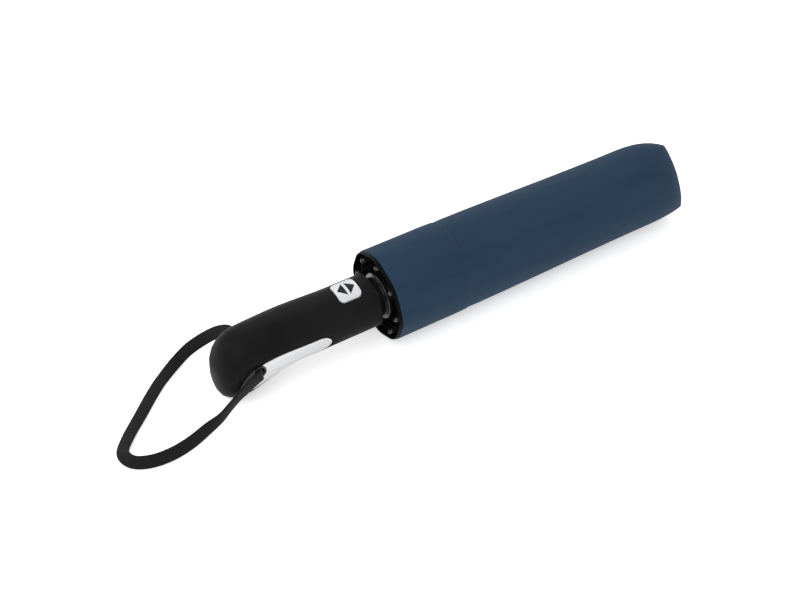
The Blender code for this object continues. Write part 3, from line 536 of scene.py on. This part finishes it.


# ---- Cloth sleeve ----
# A tube of plain woven navy polyester over the folded umbrella. Its mouth has a wide stitched hem
# with a black binding on the edge, and its inside wall gets the binding's near-black as painted
# shade. The other end is sewn flat with a tilted seam. The ribs inside press faint flats into it.

cloth = Finish("navy_case_cloth", (0.026, 0.053, 0.1), 0.8)
cloth_warp = cloth.bands("X", 1.1)
cloth_weft = cloth.bands("Y", 1.1)
cloth_slub = cloth.noise(140, 5, stretch=(0.25, 1, 1))
cloth_shade = cloth.noise(14, 3, stretch=(0.4, 1, 1))
cloth.tint(
    cloth.mix("ADD", cloth.mix("MULTIPLY", cloth_slub, 0.4), cloth.mix("MULTIPLY", cloth_shade, 0.6)),
    (0.3, (0.0112, 0.028, 0.053)),
    (0.7, (0.0158, 0.038, 0.070)),
)
cloth.bump(cloth.mix("MULTIPLY", cloth_warp, cloth_weft), 0.05 * MM, 0.5)
cloth.bump(cloth_slub, 0.06 * MM, 0.35)
cloth.bump(cloth_shade, 0.5 * MM, 0.25)
cloth.set("Sheen Weight", 0.03)
cloth.set("Sheen Roughness", 0.45)
cloth.set("Sheen Tint", (0.5, 0.62, 0.85, 1))
cloth.set("Specular IOR Level", 0.12)

# Near-black tape for the binding on the mouth's edge. It also colours the sleeve's inside wall as
# painted shade.
binding_and_inner_shade = Finish("black_binding_tape_and_painted_inner_shade", (0.003, 0.003, 0.004), 0.4)
binding_rib = binding_and_inner_shade.bands("Y", 0.8)
binding_fluff = binding_and_inner_shade.noise(1200, 3)
binding_and_inner_shade.tint(binding_fluff, (0.3, 0.002), (0.8, 0.006))
binding_and_inner_shade.bump(binding_rib, 0.08 * MM, 0.5)
binding_and_inner_shade.bump(binding_fluff, 0.05 * MM, 0.4)
binding_and_inner_shade.set("Specular IOR Level", 0.02)

CASE_LENGTH = case_high.x - case_low.x
CASE_RADIUS = (case_high.y - case_low.y) / 2
CASE_WALL = 0.7 * MM
CASE_TAPER = 1.8 * MM
HEM_WIDTH = 46.0 * MM
HEM_STEP = 0.4 * MM
BINDING = 1.8 * MM  # width of the black tape round the mouth's edge
BINDING_STEP = 0.3 * MM
CLOSING = 33.0 * MM
SEAM_HALF = 20.5 * MM
SEAM_TILT = math.radians(54)
SEAM_SHIFT = Vector((-2.8 * MM, -1.4 * MM))
CASE_SIDES = 160
RIB_ANGLE = math.radians(42)  # of the first ridge that a rib's tip presses into the cloth


def case_round(x, angle):
    """Radius of the sleeve's round part: hem, taper, rib flats and soft wrinkles."""
    radius = CASE_RADIUS - HEM_STEP * soft_step((x - HEM_WIDTH) / (1.2 * MM))
    radius -= BINDING_STEP * soft_step((BINDING + 0.4 * MM - x) / (0.4 * MM))
    radius -= CASE_TAPER * soft_step((x - HEM_WIDTH) / (CASE_LENGTH - CLOSING - HEM_WIDTH))
    flat = (1 - math.cos(8 * (angle - RIB_ANGLE))) / 2
    radius -= (0.28 * MM + 0.5 * MM * (1 - soft_step(x / (26 * MM)))) * flat
    spot = Vector((x * 9, math.cos(angle) * 1.3, math.sin(angle) * 1.3))
    radius -= 0.35 * MM * (0.5 + 0.5 * noise.noise(spot))
    pull = math.exp(-(((x - HEM_WIDTH) / (3.0 * MM)) ** 2))
    radius -= pull * 0.22 * MM * (1 + 0.5 * math.sin(46 * angle) * noise.noise(spot * 3))
    return radius


def case_point(x, angle, inset=0.0):
    """A point on the sleeve. Angles are counted from below; the closed end flattens to its seam."""
    begin = CASE_LENGTH - CLOSING
    radius = case_round(min(x, begin), angle) - inset
    turn = angle - math.pi / 2
    ring = Vector((radius * math.cos(turn), radius * math.sin(turn)))
    if x > begin:
        share = min(1.0, (x - begin) / CLOSING)
        across = Vector((math.cos(SEAM_TILT), math.sin(SEAM_TILT)))
        through = Vector((-math.sin(SEAM_TILT), math.cos(SEAM_TILT)))
        wide = ring.dot(across)
        thick = ring.dot(through)
        major = 1 + (SEAM_HALF / CASE_RADIUS * 1.02 - 1) * share**3
        minor = max(0.035, math.sqrt(max(0.0, 1 - share**2)))
        ring = across * wide * major + through * thick * minor + SEAM_SHIFT * share**3
    lift = max(ring.y, -AXIS + 0.05 * MM)
    return Vector((MOUTH + x, ring.x, AXIS + lift))


bm = bmesh.new()
uv = bm.loops.layers.uv.new("weave")
hem_lines = [HEM_WIDTH + step * MM for step in (-4, -2, -1, -0.4, 0, 0.4, 0.8, 1.2, 2, 3.5)]
body_lines = [k * 4.0 * MM for k in range(1, 11)]
tail_lines = [HEM_WIDTH + 6 * MM + k * 4.0 * MM for k in range(29)]
end_lines = [CASE_LENGTH - CLOSING + CLOSING * math.sin(math.pi / 2 * k / 26) for k in range(1, 27)]
mouth_lines = [0.0, 0.4 * MM, 1.2 * MM, BINDING, BINDING + 0.2 * MM, BINDING + 0.4 * MM]
case_x = mouth_lines + body_lines + hem_lines + tail_lines + end_lines
case_x = sorted(x for x in set(case_x) if x <= CASE_LENGTH)
rings = []
for inset, lines in ((0.0, case_x), (CASE_WALL, [x for x in case_x if x < CASE_LENGTH - 5 * MM])):
    layer = []
    for x in lines:
        edge = 0.3 * MM * (1 - min(1.0, x / (0.8 * MM))) if inset == 0 else 0.0
        turns = [2 * math.pi * k / CASE_SIDES for k in range(CASE_SIDES)]
        layer.append([bm.verts.new(case_point(x, turn, inset + edge)) for turn in turns])
    for i in range(len(layer) - 1):
        for k in range(CASE_SIDES):
            j = (k + 1) % CASE_SIDES
            face = bm.faces.new((layer[i][k], layer[i][j], layer[i + 1][j], layer[i + 1][k]))
            # The inside wall takes the near-black binding as painted shade; the strip below BINDING is
            # the real tape.
            face.material_index = 1 if inset or lines[i] < BINDING else 0
            across = 2 * math.pi * CASE_RADIUS / CASE_SIDES / MM
            corners = ((i, k), (i, k + 1), (i + 1, k + 1), (i + 1, k))
            for loop, (row, column) in zip(face.loops, corners):
                loop[uv].uv = (lines[row] / MM, column * across)
    bm.faces.new(layer[-1])
    rings.append(layer[0])
for k in range(CASE_SIDES):
    j = (k + 1) % CASE_SIDES
    bm.faces.new((rings[0][k], rings[0][j], rings[1][j], rings[1][k])).material_index = 1
bmesh.ops.recalc_face_normals(bm, faces=bm.faces)
case = new_piece("case_cloth", bm, cloth.material, "sleeve_case", smooth_angle=60)
case.data.materials.append(binding_and_inner_shade.material)
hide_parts("sleeve")


# ---- Stitching of the sleeve ----
# A lock stitch in navy thread holds the hem down all round, and another one closes the flat end.
# Each stitch is a short, slightly sunk length of thread.

thread = Finish("navy_thread", (0.012, 0.024, 0.045), 0.7)
thread.tint(thread.noise(2500, 2), (0.3, (0.008, 0.017, 0.033)), (0.8, (0.018, 0.034, 0.062)))
STITCH_PITCH = 2.2 * MM
STITCH_LENGTH = 1.7 * MM
STITCH_RADIUS = 0.16 * MM


def stitch_tree():
    """Lays stitches along a curve: pitch, length and thickness are its inputs."""
    tree = bpy.data.node_groups.new("stitches", "GeometryNodeTree")
    tree.interface.new_socket("Geometry", in_out="INPUT", socket_type="NodeSocketGeometry")
    for name in ("Pitch", "Length", "Thread radius"):
        tree.interface.new_socket(name, in_out="INPUT", socket_type="NodeSocketFloat")
    tree.interface.new_socket("Material", in_out="INPUT", socket_type="NodeSocketMaterial")
    tree.interface.new_socket("Geometry", in_out="OUTPUT", socket_type="NodeSocketGeometry")
    add = tree.nodes.new
    link = tree.links.new
    entry = add("NodeGroupInput")
    curve = add("GeometryNodeMeshToCurve")
    spaced = add("GeometryNodeResampleCurve")
    spaced.mode = "LENGTH"
    points = add("GeometryNodeCurveToPoints")
    points.mode = "EVALUATED"
    stitch = add("GeometryNodeMeshUVSphere")
    stitch.inputs["Segments"].default_value = 6
    stitch.inputs["Rings"].default_value = 5
    stitch.inputs["Radius"].default_value = 0.5
    size = add("ShaderNodeCombineXYZ")
    double = add("ShaderNodeMath")
    double.operation = "MULTIPLY"
    double.inputs[1].default_value = 2.0
    lay = add("GeometryNodeInstanceOnPoints")
    turn = add("FunctionNodeAlignEulerToVector")
    turn.axis = "Z"
    tangent = add("GeometryNodeInputTangent")
    store = add("GeometryNodeCaptureAttribute")
    store.capture_items.new("VECTOR", "Tangent")
    real = add("GeometryNodeRealizeInstances")
    dress = add("GeometryNodeSetMaterial")
    leave = add("NodeGroupOutput")
    link(entry.outputs["Geometry"], curve.inputs["Mesh"])
    link(curve.outputs["Curve"], spaced.inputs["Curve"])
    link(entry.outputs["Pitch"], spaced.inputs["Length"])
    link(spaced.outputs["Curve"], store.inputs["Geometry"])
    link(tangent.outputs["Tangent"], store.inputs["Tangent"])
    link(store.outputs["Geometry"], points.inputs["Curve"])
    link(points.outputs["Points"], lay.inputs["Points"])
    link(stitch.outputs["Mesh"], lay.inputs["Instance"])
    link(store.outputs["Tangent"], turn.inputs["Vector"])
    link(turn.outputs["Rotation"], lay.inputs["Rotation"])
    link(entry.outputs["Thread radius"], double.inputs[0])
    link(double.outputs[0], size.inputs["X"])
    link(double.outputs[0], size.inputs["Y"])
    link(entry.outputs["Length"], size.inputs["Z"])
    link(size.outputs["Vector"], lay.inputs["Scale"])
    link(lay.outputs["Instances"], real.inputs["Geometry"])
    link(real.outputs["Geometry"], dress.inputs["Geometry"])
    link(entry.outputs["Material"], dress.inputs["Material"])
    link(dress.outputs["Geometry"], leave.inputs["Geometry"])
    return tree


stitches = stitch_tree()


def sew(name, line, closed, body):
    """Stitches along a line of points, made a plain mesh that rides on a body."""
    guide_mesh = bpy.data.meshes.new(name + "_guide")
    count = len(line)
    edges = [(i, (i + 1) % count) for i in range(count if closed else count - 1)]
    guide_mesh.from_pydata([tuple(point) for point in line], edges, [])
    guide = bpy.data.objects.new(name + "_guide", guide_mesh)
    scene.collection.objects.link(guide)
    modifier = guide.modifiers.new("stitches", "NODES")
    modifier.node_group = stitches
    values = {
        "Pitch": STITCH_PITCH,
        "Length": STITCH_LENGTH,
        "Thread radius": STITCH_RADIUS,
        "Material": thread.material,
    }
    for item in stitches.interface.items_tree:
        if item.in_out == "INPUT" and item.name in values:
            modifier[item.identifier] = values[item.name]
    bpy.context.view_layer.update()
    settled = guide.evaluated_get(bpy.context.evaluated_depsgraph_get())
    sewn_mesh = bpy.data.meshes.new_from_object(settled)
    bpy.data.objects.remove(guide)
    sewn_mesh.name = name
    sewn = bpy.data.objects.new(name, sewn_mesh)
    scene.collection.objects.link(sewn)
    sewn_mesh.shade_smooth()
    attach(sewn, body)
    return sewn


hem_line = [case_point(HEM_WIDTH - 0.8 * MM, 2 * math.pi * k / 240, 0.02 * MM) for k in range(240)]
for point in hem_line:
    point.z = max(point.z, STITCH_RADIUS + 0.05 * MM)
sew("hem_stitches", hem_line, True, "sleeve_case")
for word, half_turn in (("upper", 1), ("lower", -1)):
    end_line = []
    for k in range(33):
        sideways = (k / 32 * 2 - 1) * 0.93
        angle = SEAM_TILT + math.pi / 2 + half_turn * math.acos(sideways)
        end_line.append(case_point(CASE_LENGTH - 4.0 * MM, angle, -0.02 * MM))
    sew("end_stitches_" + word, end_line, False, "sleeve_case")


# ---- Folded canopy ----
# Eight panels of thin coated cloth, rolled round the ribs in pleats that overlap one way. At the
# mouth the hemmed edges stand in folds round the rib tips, and their faces towards the shaft are
# painted near-black as shade; the other end is tied in under the dome cap.

canopy_cloth = Finish("navy_canopy_cloth", (0.012, 0.029, 0.054), 0.6)
canopy_weave = canopy_cloth.noise(1800, 2)
canopy_crease = canopy_cloth.noise(60, 5, stretch=(0.2, 1, 1))
canopy_cloth.tint(canopy_crease, (0.3, (0.009, 0.023, 0.043)), (0.75, (0.015, 0.036, 0.066)))
canopy_cloth.bump(canopy_weave, 0.03 * MM, 0.4)
canopy_cloth.bump(canopy_crease, 0.5 * MM, 0.5)
canopy_cloth.set("Specular IOR Level", 0.15)
canopy_cloth.set("Sheen Weight", 0.03)

# Painted shade: near-black for the navy canopy cloth that faces the shaft inside the bundle.
inner_painted_shade = Finish("painted_shade_inner_cloth", (0.006, 0.006, 0.008), 0.4)
inner_shade_crease = inner_painted_shade.noise(90, 4, stretch=(0.3, 1, 1))
inner_painted_shade.tint(inner_shade_crease, (0.3, 0.003), (0.8, 0.013))
inner_painted_shade.bump(inner_shade_crease, 0.6 * MM, 0.6)

canopy_low, canopy_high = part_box("canopy")
CANOPY_FRONT = canopy_low.x - MOUTH
CANOPY_BACK = canopy_high.x - MOUTH
CANOPY_RADIUS = (canopy_high.y - canopy_low.y) / 2
CANOPY_SIDES = 192
PANELS = 8
PLEAT = 1.6 * MM  # depth of a pleat
CREASE = 0.3 * MM
HOLLOW = 14.6 * MM  # inner radius of the bundle
MOUTH_FLARE = 8.15 * MM  # how much wider it is round the rib tips
INNER_SHADE_RADIUS = 23.5 * MM  # inside it the cloth that faces the shaft is painted near-black as shade
SHOULDER = 5.0 * MM  # how much the bundle narrows below its cap
SHOULDER_LENGTH = 25.0 * MM
TOP_CLOTH = 1.6 * MM
TAUT_LENGTH = 14 * MM  # from the mouth, where the pleats are drawn taut
CAP_HOLE = 3.0 * MM


def round_shaft(x, radius, angle):
    """A point at a radius from the shaft's axis, and at an angle above +Y."""
    return Vector((x, radius * math.cos(angle), AXIS + radius * math.sin(angle)))


def canopy_radius(x, angle, inner):
    """Radius of the folded cloth, outside or inside: one-way pleats that are drawn taut at the mouth."""
    turn = angle * PANELS / (2 * math.pi) + 0.35 * math.sin(x * 18)
    pleat = turn - math.floor(turn)
    fold = PLEAT * pleat**0.8
    if pleat > 0.93:
        fold *= (1 - pleat) / 0.07
    spot = Vector((x * 22, math.cos(angle) * 2.2, math.sin(angle) * 2.2))
    taut = 1 - soft_step((x - CANOPY_FRONT) / TAUT_LENGTH)
    crease = CREASE * noise.noise(spot) * (1 - 0.7 * taut)
    if inner:
        mouth = 1 - soft_step((x - 6 * MM) / (40 * MM))
        ripple = 0.5 * MM * math.sin(24 * angle + 60 * x) * mouth * (1 - 0.9 * taut)
        return HOLLOW + MOUTH_FLARE * mouth + ripple + crease * 0.5
    fold *= 1 - 0.75 * taut
    narrow = CANOPY_RADIUS - 0.3 * MM - 0.9 * MM * soft_step((x - 20 * MM) / (120 * MM))
    shoulder = SHOULDER * soft_step((x - (CANOPY_BACK - SHOULDER_LENGTH)) / SHOULDER_LENGTH)
    return narrow - shoulder - fold - abs(crease)


bm = bmesh.new()
under_top = CANOPY_BACK - TOP_CLOTH
canopy_turns = [2 * math.pi * k / CANOPY_SIDES for k in range(CANOPY_SIDES)]
outer_lines = [CANOPY_FRONT + (CANOPY_BACK - CANOPY_FRONT) * k / 60 for k in range(61)]
inner_lines = [under_top - (under_top - CANOPY_FRONT) * k / 40 for k in range(41)]
canopy_rings = []
for inner, lines in ((False, outer_lines), (True, inner_lines)):
    for x in lines:
        ring = []
        for angle in canopy_turns:
            radius = canopy_radius(x, angle, inner)
            if not inner and x < CANOPY_FRONT + 2 * MM:
                radius -= 0.15 * MM
            wander = 0.6 * MM * math.sin(5 * angle) if x < CANOPY_FRONT + 4 * MM else 0.0
            ring.append(bm.verts.new(round_shaft(MOUTH + x + wander, radius, angle)))
        canopy_rings.append(ring)
    if not inner:
        for radius, x, ripple in (
            (11.0 * MM, CANOPY_BACK + 0.05 * MM, 0.03),
            (CAP_HOLE, CANOPY_BACK, 0.03),
            (CAP_HOLE, under_top, 0.0),
        ):
            ring = []
            for angle in canopy_turns:
                place = round_shaft(MOUTH + x, radius * (1 + ripple * math.sin(16 * angle)), angle)
                ring.append(bm.verts.new(place))
            canopy_rings.append(ring)
join_rings(bm, canopy_rings + canopy_rings[:1])
bmesh.ops.recalc_face_normals(bm, faces=bm.faces)
canopy = new_piece("folded_canopy", bm, canopy_cloth.material, "upper_shaft", smooth_angle=50)
canopy.data.materials.append(inner_painted_shade.material)
# Faces turned towards the shaft near the hollow get the painted shade.
for face in canopy.data.polygons:
    outward = Vector((0, face.center.y, face.center.z - AXIS))
    if face.normal.dot(outward) < 0 and outward.length < INNER_SHADE_RADIUS:
        face.material_index = 1
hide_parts("canopy")


# ---- Closing band ----
# A strip of the canopy's own cloth, doubled and stitched along both edges, that wraps the bundle
# and holds it rolled up inside the sleeve.

band_low, band_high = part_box("closing_band")
BAND_OUTER = (band_high.y - band_low.y) / 2
BAND_WALL = 0.8 * MM
BAND_SIDES = 120
SEWN_IN = 2.4 * MM  # from the band's edge to its stitches
bm = bmesh.new()
band_profile = []
for share in (0.0, 0.03, 0.1, 0.12, 0.3, 0.5, 0.7, 0.88, 0.9, 0.97, 1.0):
    sunk = 0.12 * MM if share in (0.1, 0.12, 0.88, 0.9) else 0.0
    edge = 0.3 * MM if share in (0.0, 1.0) else 0.0
    band_profile.append((band_low.x + (band_high.x - band_low.x) * share, BAND_OUTER - sunk - edge))
band_profile += [(band_high.x, BAND_OUTER - BAND_WALL), (band_low.x, BAND_OUTER - BAND_WALL)]
band_rings = []
for x, radius in band_profile:
    ring = []
    for k in range(BAND_SIDES):
        angle = 2 * math.pi * k / BAND_SIDES
        spot = Vector((x * 40, math.cos(angle) * 3, math.sin(angle) * 3))
        swell = radius - 0.05 * MM * (1 + noise.noise(spot))
        ring.append(bm.verts.new(round_shaft(x, swell, angle)))
    band_rings.append(ring)
join_rings(bm, band_rings + band_rings[:1])
bmesh.ops.recalc_face_normals(bm, faces=bm.faces)
band = new_piece("cloth_band", bm, canopy_cloth.material, "upper_shaft")
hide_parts("closing_band")
for word, x in (("front", band_low.x + SEWN_IN), ("back", band_high.x - SEWN_IN)):
    line = [round_shaft(x, BAND_OUTER - STITCH_RADIUS, 2 * math.pi * k / 180) for k in range(180)]
    sew("band_stitches_" + word, line, True, "upper_shaft")
